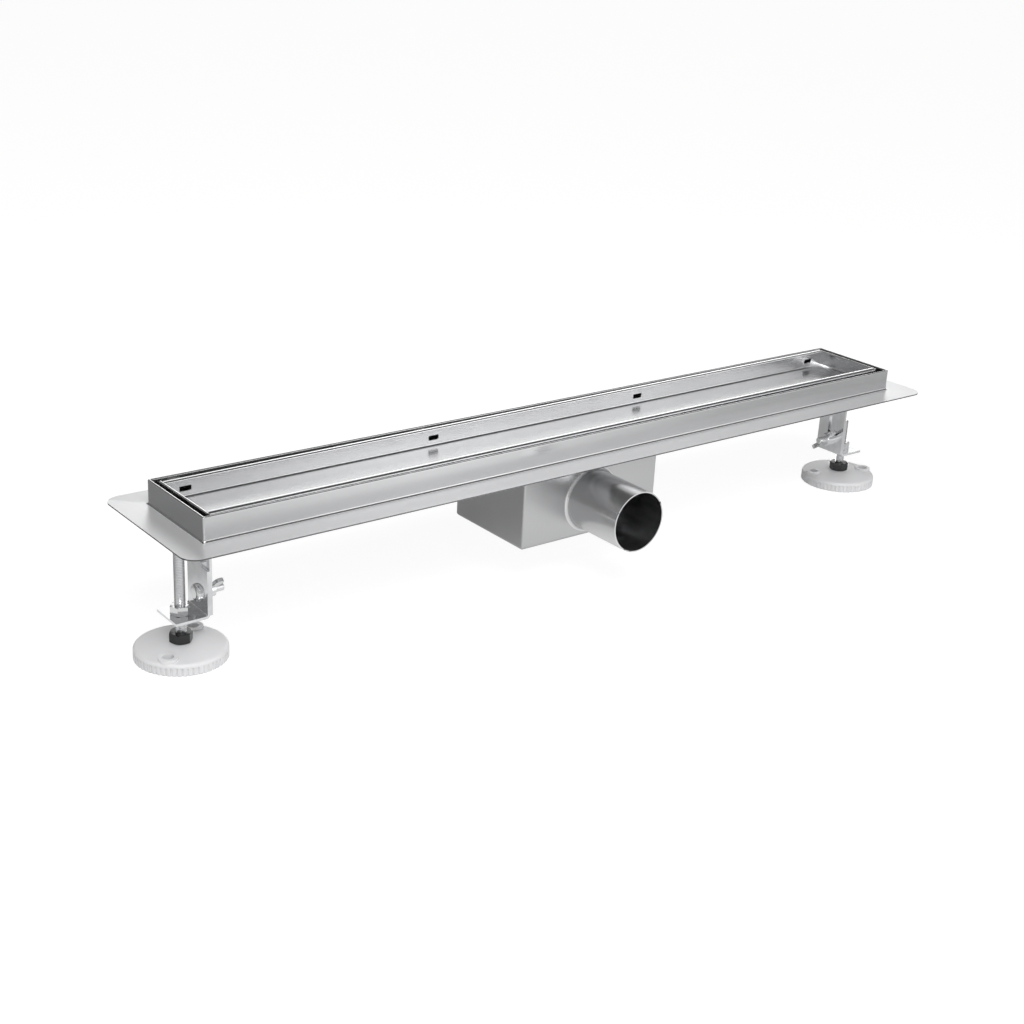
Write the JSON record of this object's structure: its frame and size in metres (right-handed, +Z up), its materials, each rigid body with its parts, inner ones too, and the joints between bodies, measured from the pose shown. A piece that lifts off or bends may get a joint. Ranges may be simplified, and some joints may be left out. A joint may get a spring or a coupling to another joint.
{
  "type": "channel drain",
  "caption": "Linear shower channel drain with a tile tray, bonding flange, trap box, side outlet pipe and height-adjustable clamped legs.",
  "frame": {"origin": "on the structural floor, midway between the two feet, under the channel's centre line", "axes": "+X along the channel towards the right end, +Z up, outlet pipe facing -Y"},
  "size_m": [0.764, 0.168, 0.1215],
  "materials": {
    "stainless": "brushed along the channel",
    "zinc_strip": "bright zinc plated",
    "zinc_hardware": "bright zinc plated",
    "foot_plastic": "milky white moulded",
    "trap_plastic": "dark grey moulded",
    "spacer_rubber": "black bridges",
    "seal_rubber": "black seal"
  },
  "bodies": {
    "drain": {"flanged_frame": "stainless", "trough_pan": "stainless", "trap_box": "stainless", "outlet_pipe": "stainless", "tile_tray": "stainless", "tray_spacers": "spacer_rubber", "trap_seal": "seal_rubber", "trap_insert": "trap_plastic", "trap_cup": "trap_plastic", "hair_strainer": "stainless", "left_hanger": "zinc_strip", "right_hanger": "zinc_strip"},
    "left_bolt": {"left_clamp_bolt": "zinc_hardware"},
    "left_bracket": {"left_leg_bracket": "zinc_strip", "left_bracket_nut": "zinc_hardware"},
    "left_washer": {"left_clamp_washer": "zinc_hardware"},
    "left_wing": {"left_wing_nut": "zinc_hardware"},
    "left_foot": {"left_foot_disc": "foot_plastic"},
    "left_rod": {"left_threaded_rod": "zinc_hardware", "left_foot_nut": "zinc_hardware"},
    "right_bolt": {"right_clamp_bolt": "zinc_hardware"},
    "right_bracket": {"right_leg_bracket": "zinc_strip", "right_bracket_nut": "zinc_hardware"},
    "right_washer": {"right_clamp_washer": "zinc_hardware"},
    "right_wing": {"right_wing_nut": "zinc_hardware"},
    "right_foot": {"right_foot_disc": "foot_plastic"},
    "right_rod": {"right_threaded_rod": "zinc_hardware", "right_foot_nut": "zinc_hardware"}
  },
  "joints": [
    {"name": "left_bolt_slide", "type": "slide", "parent": "drain", "child": "left_bolt", "axis": [0, 0, 1], "range_m": [-0.0015, 0.018]},
    {"name": "left_bracket_swing", "type": "hinge", "parent": "left_bolt", "child": "left_bracket", "pos_m": [-0.333, 0, 0.046], "axis": [1, 0, 0], "range_deg": [-90, 90]},
    {"name": "left_washer_slide", "type": "slide", "parent": "left_bolt", "child": "left_washer", "axis": [1, 0, 0], "range_m": [0, 0.002]},
    {"name": "left_wing_turn", "type": "hinge", "parent": "left_washer", "child": "left_wing", "pos_m": [-0.3288, 0, 0.046], "axis": [1, 0, 0], "range_deg": [0, 720]},
    {"name": "left_foot_slide", "type": "slide", "parent": "left_bracket", "child": "left_foot", "axis": [0, 0, -1], "range_m": [-0.01, 0.01625]},
    {"name": "left_rod_turn", "type": "hinge", "parent": "left_foot", "child": "left_rod", "pos_m": [-0.348, 0, 0.0115], "axis": [0, 0, -1], "range_deg": [-2880, 4680]},
    {"name": "right_bolt_slide", "type": "slide", "parent": "drain", "child": "right_bolt", "axis": [0, 0, 1], "range_m": [-0.0015, 0.018]},
    {"name": "right_bracket_swing", "type": "hinge", "parent": "right_bolt", "child": "right_bracket", "pos_m": [0.333, 0, 0.046], "axis": [1, 0, 0], "range_deg": [-90, 90]},
    {"name": "right_washer_slide", "type": "slide", "parent": "right_bolt", "child": "right_washer", "axis": [-1, 0, 0], "range_m": [0, 0.002]},
    {"name": "right_wing_turn", "type": "hinge", "parent": "right_washer", "child": "right_wing", "pos_m": [0.3288, 0, 0.046], "axis": [-1, 0, 0], "range_deg": [0, 720]},
    {"name": "right_foot_slide", "type": "slide", "parent": "right_bracket", "child": "right_foot", "axis": [0, 0, -1], "range_m": [-0.01, 0.01625]},
    {"name": "right_rod_turn", "type": "hinge", "parent": "right_foot", "child": "right_rod", "pos_m": [0.348, 0, 0.0115], "axis": [0, 0, -1], "range_deg": [-2880, 4680]}
  ],
  "couplings": [
    {"joint": "left_washer_slide", "follows": "left_wing_turn", "m_per_rad": 0.00015915},
    {"joint": "left_foot_slide", "follows": "left_rod_turn", "m_per_rad": 0.00019894},
    {"joint": "right_washer_slide", "follows": "right_wing_turn", "m_per_rad": 0.00015915},
    {"joint": "right_foot_slide", "follows": "right_rod_turn", "m_per_rad": 0.00019894}
  ]
}
